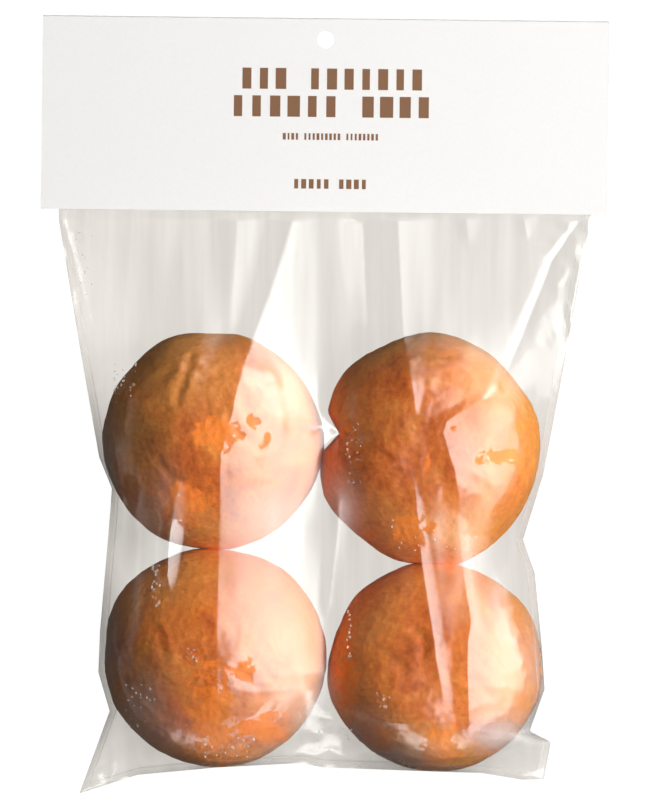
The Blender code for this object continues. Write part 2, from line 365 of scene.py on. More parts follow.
def mixed(tree, share, first, second, blend="MIX"):
    """The first colour with a share of the second mixed in."""
    settings = {"data_type": "RGBA", "blend_type": blend}
    return add_node(tree, "ShaderNodeMix", settings, Factor=share, A=first, B=second).outputs["Result"]


def new_material(name):
    """A material, its node tree and its shader."""
    made = bpy.data.materials.new(name)
    made.use_nodes = True
    return made, made.node_tree, made.node_tree.nodes["Principled BSDF"]


# How far the noise frays the wet patches, and where in the frayed share their edge lies
WET_FRAY = 3.4
WET_EDGE_START, WET_EDGE_END = 1.94, 2.02


def wet_patches_group():
    """1 where the film clings wet to the crust: the painted patches with a ragged edge. It is the same seen
    from above on the film and on the crust under it."""
    group = bpy.data.node_groups.new("wet patches", "ShaderNodeTree")
    group.interface.new_socket("Wet", in_out="OUTPUT", socket_type="NodeSocketFloat")
    flat = stretched(group, object_place(group), (1.0, 1.0, 0.0))
    ragged = mottling(group, flat, scale=170.0, detail=6.0, roughness=0.68, distortion=0.3)
    spread = maths(group, "MULTIPLY_ADD", ragged, WET_FRAY, attribute(group, "wet"))
    add_node(group, "NodeGroupOutput", Wet=rescaled(group, spread, WET_EDGE_START, WET_EDGE_END))
    return group


def is_wet(tree):
    """The wet patches, in one material's tree."""
    return add_node(tree, "ShaderNodeGroup", {"node_tree": wet_patches}).outputs["Wet"]


# The crust's baked tones as ramp stops: (position, red, green, blue), then the colours laid over them
CRUST_TONES = [(0.34, 0.60, 0.118, 0.010), (0.50, 0.84, 0.208, 0.020), (0.66, 0.93, 0.318, 0.042)]
SPECK_TONES = [(0.35, 0.74, 0.62, 0.50), (0.62, 1.1, 1.1, 1.1)]
GOLDEN_CRUST = (0.95, 0.400, 0.085, 1)
SOAKED_CRUST = (0.82, 0.200, 0.012, 1)
# The tint that darkens the crust where shade is painted on it
CRUST_PAINTED_SHADE_TINT = (0.48, 0.52, 0.75, 1)
GOLDEN_UP_TO_Z, ALL_GOLDEN_Z, GOLDEN_EDGE_UNEVEN = 0.026, -0.002, -0.060
GOLDEN_AND_LIT_SHARE, SPECK_SHARE, SOAKED_SHARE = 0.75, 0.45, 0.6
CRUST_ROUGHNESS = (0.34, 0.56)


def crust_material():
    """Egg-glazed crust: brown on top, golden round the side, mottled, with pits and fine wrinkles."""
    made, tree, shader = new_material("glazed crust")
    place = object_place(tree)
    mottle = mottling(tree, place, scale=46.0, detail=8.0, roughness=0.68, distortion=0.9)
    tone = colour_ramp(tree, mottle, *CRUST_TONES)

    # Golden low on the side, with an uneven edge, where the glaze is thin, and painted light on one shaded
    # place
    height = add_node(tree, "ShaderNodeSeparateXYZ", Vector=place).outputs["Z"]
    broad = mottling(tree, place, scale=24.0, detail=4.0, roughness=0.6, distortion=0.5)
    uneven_height = maths(tree, "MULTIPLY_ADD", broad, GOLDEN_EDGE_UNEVEN, height)
    low = rescaled(tree, uneven_height, GOLDEN_UP_TO_Z, ALL_GOLDEN_Z)
    golden_share = maths(tree, "MULTIPLY_ADD", attribute(tree, "golden"), GOLDEN_AND_LIT_SHARE, low, clamp=True)
    golden = mixed(tree, golden_share, tone, GOLDEN_CRUST)

    # Fine specks, deeper orange where it is soaked, and painted shade on the left buns' sides
    specks = mottling(tree, place, scale=420.0, detail=3.0, roughness=0.65)
    freckled = mixed(tree, SPECK_SHARE, golden, colour_ramp(tree, specks, *SPECK_TONES), "MULTIPLY")
    soaked = mixed(tree, maths(tree, "MULTIPLY", is_wet(tree), SOAKED_SHARE), freckled, SOAKED_CRUST)
    crust_painted_shade = mixed(tree, attribute(tree, "crust_painted_shade"), soaked, CRUST_PAINTED_SHADE_TINT, "MULTIPLY")
    feed(tree, shader.inputs["Base Color"], crust_painted_shade)
    feed(tree, shader.inputs["Roughness"], rescaled(tree, mottle, 0.0, 1.0, *CRUST_ROUGHNESS))
    shader.inputs["Specular IOR Level"].default_value = 0.22

    smooth_cells = {"feature": "SMOOTH_F1"}
    pits = add_node(tree, "ShaderNodeTexVoronoi", smooth_cells, Vector=place, Scale=330.0, Smoothness=0.6)
    rises = maths(tree, "ADD", pits.outputs["Distance"], specks)
    bump = add_node(tree, "ShaderNodeBump", Strength=0.55, Distance=0.0005, Height=rises)
    feed(tree, shader.inputs["Normal"], bump.outputs["Normal"])
    return made


wet_patches = wet_patches_group()
glazed_crust = crust_material()
bun_objects = [make_bun(bun) for bun in BUNS]
for bun_object in bun_objects:
    bun_object.data.materials.append(glazed_crust)
    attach(bun_object, "root")
    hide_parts("bag")

# Film bag
# One clear film, folded over and welded flat along both sides and the bottom. The buns draw it tight, so it
# stands in long straight folds from the card down, and clings where it lies on the crust.
NECK_HALF_WIDTH = 0.1204
NECK_START_Y = 0.084
NECK_TOP_Y = 0.150
NECK_Z = 0.00095
NECK_GAP = 0.00015
LEFT_SEAM = [
    (-0.1110, -0.1760),
    (-0.0972, -0.1385),
    (-0.1022, -0.1210),
    (-0.1015, -0.1030),
    (-0.0972, -0.0527),
    (-0.0961, -0.0380),
    (-0.1018, -0.0240),
    (-0.1105, 0.0257),
    (-0.1198, 0.0800),
    (-NECK_HALF_WIDTH, NECK_START_Y),
]
RIGHT_SEAM = [
    (0.0990, -0.1695),
    (0.1020, -0.1527),
    (0.0924, -0.1478),
    (0.0990, -0.1287),
    (0.0977, -0.1090),
    (0.0945, -0.0762),
    (0.0893, -0.0611),
    (0.0983, -0.0322),
    (0.1055, 0.0060),
    (0.1174, 0.0711),
    (NECK_HALF_WIDTH, NECK_START_Y),
]
BOTTOM_WELD = [
    (-0.1110, -0.1760),
    (-0.0847, -0.1675),
    (-0.0500, -0.1640),
    (-0.0108, -0.1620),
    (-0.0011, -0.1640),
    (0.0421, -0.1655),
    (0.0707, -0.1665),
    (0.0893, -0.1697),
    (0.0990, -0.1695),
]
SIDE_SEAM_HEIGHTS = [
    (-0.1760, 0.0010),
    (-0.1500, 0.0060),
    (-0.1385, 0.0130),
    (-0.1200, 0.0195),
    (-0.0850, 0.0195),
    (-0.0620, 0.0170),
    (-0.0400, 0.0195),
    (0.0050, 0.0215),
    (0.0300, 0.0190),
    (0.0700, 0.0065),
    (NECK_START_Y, NECK_Z),
]
BOTTOM_WELD_HEIGHTS = [
    (-0.1110, 0.0010),
    (-0.0900, 0.0060),
    (-0.0600, 0.0165),
    (-0.0400, 0.0165),
    (0.0000, 0.0110),
    (0.0400, 0.0165),
    (0.0600, 0.0165),
    (0.0850, 0.0080),
    (0.0990, 0.0030),
]
# Heights over and under all buns, where rays that look for their crusts start
OVER_BUNS_Z, UNDER_BUNS_Z = 0.2, -0.1
FILM_CLEARANCE = 0.00025
LOWEST_FILM = 0.00015
COARSE_ACROSS, COARSE_ALONG = 45, 50
FINER = 6
BACK_COARSER = 3
NECK_ROWS = 6
EDGE_CROWDING = 0.30
COARSE_PASSES = 3000
FINE_PASSES = 260
PULL_ACROSS = 0.25
SAG = 2.0
VALLEY_X, VALLEY_WIDTH, VALLEY_SAG = -0.0010, 0.0060, 3.0
VALLEY_START_Y, VALLEY_FADE = 0.040, 0.030

# A fold: its sharp line from the card downwards as (x, y, width of its straight flank, slope of that flank),
# how far the film leads up to it behind, and whether it stands up with the flank on its right or is a valley
# with the flank on its left
Fold = namedtuple("Fold", "line lead side")
RIDGE, VALLEY = 1, -1
FOLDS = [
    Fold(
        [
            (-0.0396, 0.0877, 0.0135, 0.22),
            (-0.0410, 0.0625, 0.0112, 0.22),
            (-0.0423, 0.0396, 0.0081, 0.15),
            (-0.0427, 0.0288, 0.0063, 0.00),
        ],
        0.012,
        RIDGE,
    ),
    Fold(
        [
            (-0.0135, 0.0877, 0.0121, 0.34),
            (-0.0189, 0.0693, 0.0171, 0.34),
            (-0.0247, 0.0513, 0.0216, 0.30),
            (-0.0328, 0.0288, 0.0297, 0.26),
            (-0.0369, 0.0171, 0.0338, 0.24),
            (-0.0423, -0.0049, 0.0405, 0.20),
            (-0.0473, -0.0221, 0.0441, 0.15),
            (-0.0481, -0.0634, 0.0450, 0.07),
            (-0.0490, -0.1089, 0.0450, 0.11),
            (-0.0490, -0.1399, 0.0427, 0.12),
            (-0.0490, -0.1557, 0.0405, 0.00),
        ],
        0.016,
        RIDGE,
    ),
    Fold(
        [
            (0.0175, 0.0877, 0.0117, 0.32),
            (0.0189, 0.0558, 0.0108, 0.32),
            (0.0198, 0.0378, 0.0099, 0.25),
            (0.0203, 0.0243, 0.0090, 0.00),
        ],
        0.006,
        VALLEY,
    ),
    Fold(
        [
            (0.0319, 0.0877, 0.0234, 0.26),
            (0.0333, 0.0603, 0.0198, 0.28),
            (0.0347, 0.0310, 0.0130, 0.34),
            (0.0382, 0.0108, 0.0076, 0.34),
            (0.0405, -0.0040, 0.0032, 0.30),
            (0.0418, -0.0072, 0.0022, 0.00),
        ],
        0.01,
        RIDGE,
    ),
    Fold(
        [
            (0.0630, 0.0877, 0.0081, 0.50),
            (0.0644, 0.0760, 0.0054, 0.30),
            (0.0653, 0.0702, 0.0036, 0.00),
        ],
        0.006,
        RIDGE,
    ),
    Fold(
        [
            (0.0891, 0.0877, 0.0067, 0.50),
            (0.0905, 0.0792, 0.0045, 0.30),
            (0.0914, 0.0747, 0.0036, 0.00),
        ],
        0.006,
        RIDGE,
    ),
    Fold(
        [
            (0.1143, 0.0819, 0.0032, 0.50),
            (0.1026, 0.0648, 0.0045, 0.50),
            (0.0882, 0.0292, 0.0059, 0.50),
            (0.0774, 0.0067, 0.0032, 0.40),
            (0.0742, 0.0027, 0.0027, 0.00),
        ],
        0.007,
        VALLEY,
    ),
    Fold(
        [
            (0.0733, 0.0059, 0.0054, 0.00),
            (0.0653, -0.0004, 0.0180, 0.12),
            (0.0540, -0.0072, 0.0297, 0.16),
            (0.0522, -0.0130, 0.0351, 0.16),
            (0.0544, -0.0207, 0.0324, 0.16),
            (0.0576, -0.0292, 0.0225, 0.16),
            (0.0612, -0.0454, 0.0090, 0.14),
            (0.0621, -0.0522, 0.0045, 0.00),
        ],
        0.008,
        RIDGE,
    ),
    Fold(
        [
            (0.0603, -0.0410, 0.0018, 0.00),
            (0.0605, -0.0522, 0.0027, 0.35),
            (0.0628, -0.0770, 0.0036, 0.35),
            (0.0660, -0.0975, 0.0050, 0.33),
            (0.0640, -0.1060, 0.0100, 0.24),
            (0.0635, -0.1200, 0.0220, 0.20),
            (0.0645, -0.1440, 0.0260, 0.19),
            (0.0660, -0.1602, 0.0200, 0.00),
        ],
        0.007,
        RIDGE,
    ),
    Fold(
        [
            (0.0378, -0.0270, 0.0022, 0.00),
            (0.0405, -0.0420, 0.0036, 0.35),
            (0.0430, -0.0711, 0.0056, 0.35),
            (0.0471, -0.0972, 0.0056, 0.35),
            (0.0504, -0.1197, 0.0050, 0.33),
            (0.0540, -0.1360, 0.0032, 0.00),
        ],
        0.007,
        RIDGE,
    ),
    Fold(
        [
            (-0.0644, -0.0297, 0.0027, 0.00),
            (-0.0662, -0.0387, 0.0045, 0.80),
            (-0.0702, -0.0599, 0.0076, 0.85),
            (-0.0711, -0.0770, 0.0059, 0.80),
            (-0.0693, -0.0900, 0.0027, 0.00),
        ],
        0.006,
        RIDGE,
    ),
    Fold(
        [
            (-0.1183, 0.0837, 0.0018, 0.50),
            (-0.1125, 0.0625, 0.0027, 0.80),
            (-0.1066, 0.0401, 0.0022, 0.80),
            (-0.1021, 0.0243, 0.0018, 0.00),
        ],
        0.004,
        RIDGE,
    ),
    Fold(
        [
            (-0.0958, -0.0117, 0.0014, 0.00),
            (-0.0931, -0.0252, 0.0022, 0.90),
            (-0.0905, -0.0477, 0.0022, 0.90),
            (-0.0914, -0.0634, 0.0014, 0.00),
        ],
        0.004,
        RIDGE,
    ),
    Fold(
        [
            (-0.0805, -0.0261, 0.0014, 0.00),
            (-0.0833, -0.0410, 0.0022, 0.80),
            (-0.0859, -0.0589, 0.0018, 0.00),
        ],
        0.004,
        RIDGE,
    ),
    Fold(
        [
            (-0.0931, -0.0882, 0.0014, 0.00),
            (-0.0958, -0.1062, 0.0022, 0.90),
            (-0.0905, -0.1287, 0.0027, 0.90),
            (-0.0833, -0.1467, 0.0018, 0.00),
        ],
        0.004,
        RIDGE,
    ),
    Fold(
        [
            (0.0049, -0.0364, 0.0018, 0.00),
            (0.0059, -0.0432, 0.0063, 0.30),
            (0.0049, -0.0567, 0.0072, 0.30),
            (0.0014, -0.0882, 0.0054, 0.20),
            (0.0004, -0.0972, 0.0036, 0.00),
        ],
        0.005,
        RIDGE,
    ),
]
FALL_POWER = 1.5
# The point where the film is pinched in between the upper buns, and the creases that run out from it
PINCH_X, PINCH_Y, PINCH_DEPTH, PINCH_REACH = 0.0060, -0.0126, 0.0080, 0.0085
PINCH_CREASES, PINCH_CREASE_HEIGHT, PINCH_TWIST = 7, 0.0007, 1.3
CONE_TIP_X, CONE_LENGTH, CONE_HALF_WIDTH, CONE_HEIGHT = 0.0080, 0.0150, 0.0048, 0.0030
CONE_LEAST_OPENING, CONE_FADE = 0.05, 3
# Painted dimming of the film's reflections, in patches where it shines less: (x, y, half width, half
# length, share)
PAINTED_DIM_SHINE_PATCHES = [
    (-0.1000, 0.0450, 0.0260, 0.0600, 1.0),
    (0.0800, 0.0450, 0.0280, 0.0420, 0.9),
    (0.0950, 0.0050, 0.0220, 0.0450, 0.8),
    (0.0700, 0.0090, 0.0180, 0.0230, 0.9),
    (0.0570, 0.0120, 0.0110, 0.0200, 0.8),
    (0.0750, -0.0690, 0.0100, 0.0250, 1.0),
    (0.0560, -0.0700, 0.0048, 0.0300, 0.95),
    (0.0590, -0.0980, 0.0040, 0.0200, 0.9),
    (0.0610, -0.1300, 0.0040, 0.0180, 0.5),
    (-0.0520, -0.1430, 0.0200, 0.0130, 0.7),
    (-0.0585, -0.0850, 0.0080, 0.0220, 0.8),
    (-0.0560, -0.0400, 0.0060, 0.0160, 0.7),
    (-0.0810, -0.1180, 0.0150, 0.0220, 0.9),
    (-0.0810, -0.0120, 0.0150, 0.0180, 0.9),
]
# The two narrow folds left out of the painted dimming, so they still shine
BRIGHT_FOLDS = [FOLDS[6], FOLDS[8]]
BRIGHT_WIDTH = 0.0020
# Painted shade on the film, on edge and in its folds' shadows: (x, y, half width, half length, share)
PAINTED_SHADE_PATCHES = [
    (-0.1000, -0.0250, 0.0085, 0.0240, 0.8),
    (-0.0850, -0.0560, 0.0100, 0.0170, 0.6),
    (-0.1000, -0.1050, 0.0090, 0.0300, 0.8),
    (-0.0850, -0.1400, 0.0140, 0.0160, 0.6),
    (-0.0010, -0.0104, 0.0055, 0.0012, 1.0),
    (0.0870, -0.1500, 0.0140, 0.0130, 0.8),
    (0.0790, -0.1490, 0.0120, 0.0080, 1.5),
    (0.0790, -0.0850, 0.0045, 0.0100, 0.5),
    (0.0960, -0.1150, 0.0100, 0.0250, 0.5),
    (0.0085, -0.0470, 0.0075, 0.0130, 0.6),
    (-0.0070, -0.1400, 0.0120, 0.0160, 0.8),
    (0.0150, -0.1500, 0.0120, 0.0110, 0.7),
    (-0.0200, -0.0520, 0.0110, 0.0110, 0.5),
    (-0.0790, -0.1490, 0.0170, 0.0130, 0.55),
    (0.0280, -0.1600, 0.0180, 0.0070, 0.9),
    (-0.0200, -0.1580, 0.0120, 0.0070, 0.7),
    (-0.0720, -0.0480, 0.0070, 0.0160, 0.5),
]
WELD_WIDTH, WELD_SHARPNESS = 0.0030, 1.5
FLUTE_WIDTH, FLUTE_LENGTH, FLUTE_HEIGHT = 0.0090, 0.060, 0.00055
CRUMPLE_SIZE, CRUMPLE_HEIGHT, CRUMPLE_MIDDLE, CRUMPLE_LEVEL = 0.0105, 0.0030, 0.4, 0.03
CRUMPLED_SIDE, CRUMPLED_FOOT = 0.12, 0.16
FREE_GAP = 0.004


def beside_fold(places, fold):
    """1 on a fold's straight flank, and less on both sides of it."""
    x, y = places[..., 0], places[..., 1]
    line = np.array(fold.line)[::-1]
    inside = (y > line[0, 1]) & (y < line[-1, 1])
    aside = fold.side * (x - np.interp(y, line[:, 1], line[:, 0])) - BRIGHT_WIDTH
    return np.where(inside, np.exp(-((aside / BRIGHT_WIDTH) ** 2)), 0)


def crowded_shares(cells):
    """Shares from 0 to 1 that lie closer together at both ends."""
    even = np.linspace(0.0, 1.0, cells + 1)
    bunched = 0.5 - 0.5 * np.cos(math.pi * even)
    return even + EDGE_CROWDING * (bunched - even)


def along_line(corners, shares):
    """Points at these shares of a line's length."""
    corners = np.array(corners)
    run = np.append(0.0, np.cumsum(np.hypot(*np.diff(corners, axis=0).T)))
    return np.stack([np.interp(shares, run / run[-1], corners[:, axis]) for axis in (0, 1)], axis=1)


def net_places(finer):
    """Places of a film's points seen from above, [along, across], blended inwards from its four edges."""
    across = crowded_shares(COARSE_ACROSS * finer)
    along = np.linspace(0.0, 1.0, COARSE_ALONG * finer + 1)
    left, right = along_line(LEFT_SEAM, along), along_line(RIGHT_SEAM, along)
    bottom = along_line(BOTTOM_WELD, across)
    top = along_line([LEFT_SEAM[-1], RIGHT_SEAM[-1]], across)
    u, v = across[None, :, None], along[:, None, None]
    places = (1 - u) * left[:, None] + u * right[:, None] + (1 - v) * bottom[None] + v * top[None]
    places -= (1 - u) * (1 - v) * bottom[0] + u * (1 - v) * bottom[-1]
    places -= (1 - u) * v * top[0] + u * v * top[-1]
    return places


def crust_above_and_below(places):
    """Heights of the crusts over each place, top and underside, from the buns' own meshes."""
    bm = bmesh.new()
    for bun_object in bun_objects:
        bm.from_mesh(bun_object.data)
    tree = BVHTree.FromBMesh(bm)
    bm.free()
    tops = np.full(places.shape[:2], -np.inf)
    undersides = np.full(places.shape[:2], np.inf)
    for index in np.ndindex(places.shape[:2]):
        x, y = places[index]
        hit = tree.ray_cast(Vector((x, y, OVER_BUNS_Z)), Vector((0, 0, -1)))[0]
        if hit is not None:
            tops[index] = hit.z
            undersides[index] = tree.ray_cast(Vector((x, y, UNDER_BUNS_Z)), Vector((0, 0, 1)))[0].z
    return tops, undersides


def drawn_tight(heights, lowest, highest, sinking, passes):
    """A film held at its edges, drawn mostly lengthways, that sinks a little where nothing stops it."""
    for _ in range(passes):
        sideways = (heights[1:-1, :-2] + heights[1:-1, 2:]) / 2
        lengthways = (heights[:-2, 1:-1] + heights[2:, 1:-1]) / 2
        drawn = PULL_ACROSS * sideways + (1 - PULL_ACROSS) * lengthways - sinking[1:-1, 1:-1]
        heights[1:-1, 1:-1] = np.clip(drawn, lowest[1:-1, 1:-1], highest[1:-1, 1:-1])
    return heights


def film_sinking(places, finer):
    """How far the upper film sinks in a pass, more in the valley between the two columns of buns."""
    x, y = places[..., 0], places[..., 1]
    valley = np.exp(-(((x - VALLEY_X) / VALLEY_WIDTH) ** 2))
    valley *= np.clip((VALLEY_START_Y - y) / VALLEY_FADE, 0, 1)
    cell = (LEFT_SEAM[-1][1] - LEFT_SEAM[0][1]) / (COARSE_ALONG * finer)
    return (SAG + VALLEY_SAG * valley) * cell**2 / 2


def seam_heights(places):
    """Heights of the welds along the net's four edges; between them they only start the film's drawing."""
    seam = np.interp(places[..., 1], *np.array(SIDE_SEAM_HEIGHTS).T)
    seam[0] = np.interp(places[0, :, 0], *np.array(BOTTOM_WELD_HEIGHTS).T)
    seam[-1] = NECK_Z
    return seam


def made_finer(heights):
    """The same heights on the finer net."""
    coarse_across, across = crowded_shares(COARSE_ACROSS), crowded_shares(COARSE_ACROSS * FINER)
    coarse_along = np.linspace(0, 1, COARSE_ALONG + 1)
    along = np.linspace(0, 1, COARSE_ALONG * FINER + 1)
    wide = np.array([np.interp(across, coarse_across, row) for row in heights])
    return np.array([np.interp(along, coarse_along, column) for column in wide.T]).T


def fold_relief(places):
    """How far the long folds stand off the film: a straight flank on one side and a softer lead behind."""
    x, y = places[..., 0], places[..., 1]
    relief = np.zeros(x.shape)
    for fold in FOLDS:
        line = np.array(fold.line)[::-1]
        inside = (y > line[0, 1]) & (y < line[-1, 1])
        aside = fold.side * (x - np.interp(y, line[:, 1], line[:, 0]))
        width, slope = (np.interp(y, line[:, 1], line[:, column]) for column in (2, 3))
        flank = np.clip(1 - aside / width, 0, 1) ** FALL_POWER
        lead = np.clip(1 + aside / fold.lead, 0, 1) ** 2
        height = fold.side * slope * width / FALL_POWER
        relief += np.where(inside, height * np.where(aside > 0, flank, lead), 0)
    return relief


def pinch_relief(places):
    """The dimple between the upper buns, the creases that run out of it and the cone that points into it."""
    x, y = places[..., 0] - PINCH_X, places[..., 1] - PINCH_Y
    reach, turn = np.hypot(x, y) / PINCH_REACH, np.arctan2(y, x)
    creases = np.cos(PINCH_CREASES * turn + PINCH_TWIST * np.sin(2 * turn)) * PINCH_CREASE_HEIGHT
    opening = (CONE_TIP_X - places[..., 0]) / CONE_LENGTH
    half_width = CONE_HALF_WIDTH * np.clip(opening, CONE_LEAST_OPENING, 1)
    rise = np.clip(1 - np.abs(y) / half_width, 0, 1)
    cone = CONE_HEIGHT * rise * np.clip(opening, 0, 1) * np.clip(CONE_FADE * (1 - opening), 0, 1)
    return -PINCH_DEPTH * np.exp(-reach) + creases * reach * np.exp(-reach) + cone


def flutes_and_crumples(places, gap):
    """The film's small unevenness: flutes where it hangs free, and angular crumples towards its edges."""
    relief = np.zeros(places.shape[:2])
    rows, columns = relief.shape
    for row in range(1, rows - 1):
        for column in range(1, columns - 1):
            x, y = places[row, column]
            free = min(gap[row, column] / FREE_GAP, 1.0)
            edge = min(column, columns - 1 - column) / columns
            flute = noise.noise(Vector((x / FLUTE_WIDTH, y / FLUTE_LENGTH, 0.0))) * FLUTE_HEIGHT
            near = max(0.0, 1 - edge / CRUMPLED_SIDE, 1 - row / (CRUMPLED_FOOT * rows))
            fold = abs(noise.noise(Vector((x, y, CRUMPLE_LEVEL)) / CRUMPLE_SIZE))
            relief[row, column] = free * (flute + (CRUMPLE_MIDDLE - fold) * CRUMPLE_HEIGHT * near)
    return relief


def film_heights():
    """The fine net's places, the heights of both films there, and the upper film's gap over the crust."""
    drawn = None
    for finer, passes in ((1, COARSE_PASSES), (FINER, FINE_PASSES)):
        places = net_places(finer)
        tops, undersides = crust_above_and_below(places)
        edges = seam_heights(places)
        table, sky = np.zeros_like(tops), np.full_like(tops, np.inf)
        films = []
        for number, (lowest, highest, sinking) in enumerate(
            (
                (np.maximum(tops + FILM_CLEARANCE, table), sky, film_sinking(places, finer)),
                (table, np.maximum(undersides - FILM_CLEARANCE, 0), table),
            )
        ):
            heights = edges.copy()
            if drawn:
                heights[1:-1, 1:-1] = made_finer(drawn[number])[1:-1, 1:-1]
            films.append(drawn_tight(heights, lowest, highest, sinking, passes))
        drawn = films
    upper, lower = drawn
    free = upper - tops
    relief = fold_relief(places) + pinch_relief(places) + flutes_and_crumples(places, free)
    upper[1:-1, 1:-1] += relief[1:-1, 1:-1]
    upper = np.maximum(upper, np.maximum(tops + FILM_CLEARANCE, LOWEST_FILM))
    return places, upper, np.minimum(lower, upper), upper - tops


def film_object(name, places, heights, gap, faces_up):
    """One film: a grid whose points are moved to their places, with the flat neck added."""
    rises = np.linspace(NECK_START_Y, NECK_TOP_Y, NECK_ROWS + 1)[1:]
    neck = np.repeat(places[-1:], NECK_ROWS, axis=0)
    neck[..., 1] = rises[:, None]
    flat = np.full(neck.shape[:2], NECK_Z + (NECK_GAP if faces_up else -NECK_GAP))
    places = np.concatenate([places, neck])
    heights = np.concatenate([heights, flat])
    gap = np.concatenate([gap, np.full(flat.shape, 1.0)])
    rows, columns = heights.shape
    from_side = np.minimum(places[..., 0] - places[:, :1, 0], places[:, -1:, 0] - places[..., 0])
    from_foot = places[..., 1] - places[:1, :, 1]
    wet = wetness(places)
    # The film's shine, painted dim in patches, with two fold lines left out
    painted_dim_shine = painted(places, PAINTED_DIM_SHINE_PATCHES) if faces_up else np.full(wet.shape, 1.0)
    if faces_up:
        for fold in BRIGHT_FOLDS:
            painted_dim_shine *= 1 - beside_fold(places, fold)
    shares = {
        "gap": np.minimum(gap, 1.0),
        "wet": wet,
        "weld": np.clip(WELD_SHARPNESS - np.minimum(from_side, from_foot) / WELD_WIDTH, 0, 1),
        "painted_dim_shine": painted_dim_shine,
        # Painted shade on the upper film
        "painted_shade": painted(places, PAINTED_SHADE_PATCHES) if faces_up else np.zeros(wet.shape),
    }
    bm = bmesh.new()
    layers = [(bm.verts.layers.float.new(label), values) for label, values in shares.items()]
    grid = bmesh.ops.create_grid(bm, x_segments=columns - 1, y_segments=rows - 1, size=1.0)
    for vert in grid["verts"]:
        column = round((vert.co.x + 1) / 2 * (columns - 1))
        row = round((vert.co.y + 1) / 2 * (rows - 1))
        vert.co = (*places[row, column], heights[row, column])
        for layer, values in layers:
            vert[layer] = values[row, column]
    if not faces_up:
        bmesh.ops.reverse_faces(bm, faces=bm.faces)
    return finished(bm, name)


def layered(tree, share, under, over):
    """One shader with a share of another mixed in."""
    node = tree.nodes.new("ShaderNodeMixShader")
    for socket, value in zip(node.inputs, (share, under, over)):
        feed(tree, socket, value)
    return node.outputs["Shader"]


# How milky the film is across a weld: (share of the weld attribute, milkiness)
WELD_HAZE = [(0.0, 0.008), (0.30, 0.03), (0.42, 0.24), (0.54, 0.06), (1.0, 0.13)]
# How much milky haze the film gets where shade is painted on it
PAINTED_SHADE_HAZE = 0.34
FREE_OF_CRUST, CLINGS_TO_CRUST = 0.0100, 0.0080
# Shares that the film mirrors face on, face on where it is wet, and on edge, and what its painted dimming
# leaves
MIRRORED, MIRRORED_WET, MIRRORED_ON_EDGE, EDGE_POWER, PAINTED_DIM_SHINE_LEAVES = 0.085, 0.008, 0.85, 5.0, 0.12
# Its pleats run lengthways, so their noise is stretched that way
PLEAT_STRETCH = (1.0, 0.07, 0.0)
FILM_TINTS = [(0.35, 0.852, 0.832, 0.802), (0.65, 0.884, 0.865, 0.838)]
WET_FILM = (1.0, 0.985, 0.95, 1)
# The darker see-through tint of the painted shade on the film
PAINTED_SHADE_FILM = (0.74, 0.71, 0.68, 1)


def film_material():
    """Clear film: see-through with a faint warm haze, glossy on both faces, and clearer where it is wet."""
    made, tree, shader = new_material("clear film")
    tree.nodes.remove(shader)
    near = rescaled(tree, attribute(tree, "gap"), FREE_OF_CRUST, CLINGS_TO_CRUST)
    cling = maths(tree, "MULTIPLY", is_wet(tree), near)

    # What it mirrors: more where it is steep, less where it clings wet and where its shine is painted dim
    facing = add_node(tree, "ShaderNodeLayerWeight", Blend=0.5).outputs["Facing"]
    face_on = rescaled(tree, cling, 0.0, 1.0, MIRRORED, MIRRORED_WET)
    bright = maths(tree, "MULTIPLY_ADD", maths(tree, "POWER", facing, EDGE_POWER), MIRRORED_ON_EDGE, face_on)
    # Its mirror share, lowered where its shine is painted dim
    lively = rescaled(tree, attribute(tree, "painted_dim_shine"), 0.0, 1.0, 1.0, PAINTED_DIM_SHINE_LEAVES)
    mirror = maths(tree, "MULTIPLY", bright, lively)

    # What it lets through, in faint upright pleats, and its milky haze at the welds and where shade is
    # painted on it as a darker tint
    along = stretched(tree, object_place(tree), PLEAT_STRETCH)
    pleats = mottling(tree, along, scale=150.0, detail=3.0, roughness=0.5)
    clearness = mixed(tree, cling, colour_ramp(tree, pleats, *FILM_TINTS), WET_FILM)
    painted_shade = attribute(tree, "painted_shade")
    painted_shade_tint = mixed(tree, painted_shade, clearness, PAINTED_SHADE_FILM)
    clear = add_node(tree, "ShaderNodeBsdfTransparent", Color=painted_shade_tint).outputs["BSDF"]
    haze = add_node(tree, "ShaderNodeBsdfDiffuse", Color=(0.90, 0.88, 0.86, 1)).outputs["BSDF"]
    greys = [(position, share, share, share) for position, share in WELD_HAZE]
    weld_haze = colour_ramp(tree, attribute(tree, "weld"), *greys)
    body = layered(tree, maths(tree, "MULTIPLY_ADD", painted_shade, PAINTED_SHADE_HAZE, weld_haze), clear, haze)

    gloss = add_node(tree, "ShaderNodeBsdfAnisotropic", Color=(1.0, 0.985, 0.965, 1), Roughness=0.24)
    film = layered(tree, mirror, body, gloss.outputs["BSDF"])
    feed(tree, tree.nodes["Material Output"].inputs["Surface"], film)
    return made


net, upper_heights, lower_heights, crust_gap = film_heights()
clear_film = film_material()
film_front = film_object("film_front", net, upper_heights, crust_gap, True)
coarser = (slice(None, None, BACK_COARSER),) * 2
no_cling = np.ones_like(crust_gap[coarser])
film_back = film_object("film_back", net[coarser], lower_heights[coarser], no_cling, False)
for film in (film_front, film_back):
    film.data.materials.append(clear_film)
    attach(film, "root")
    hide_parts("bag")

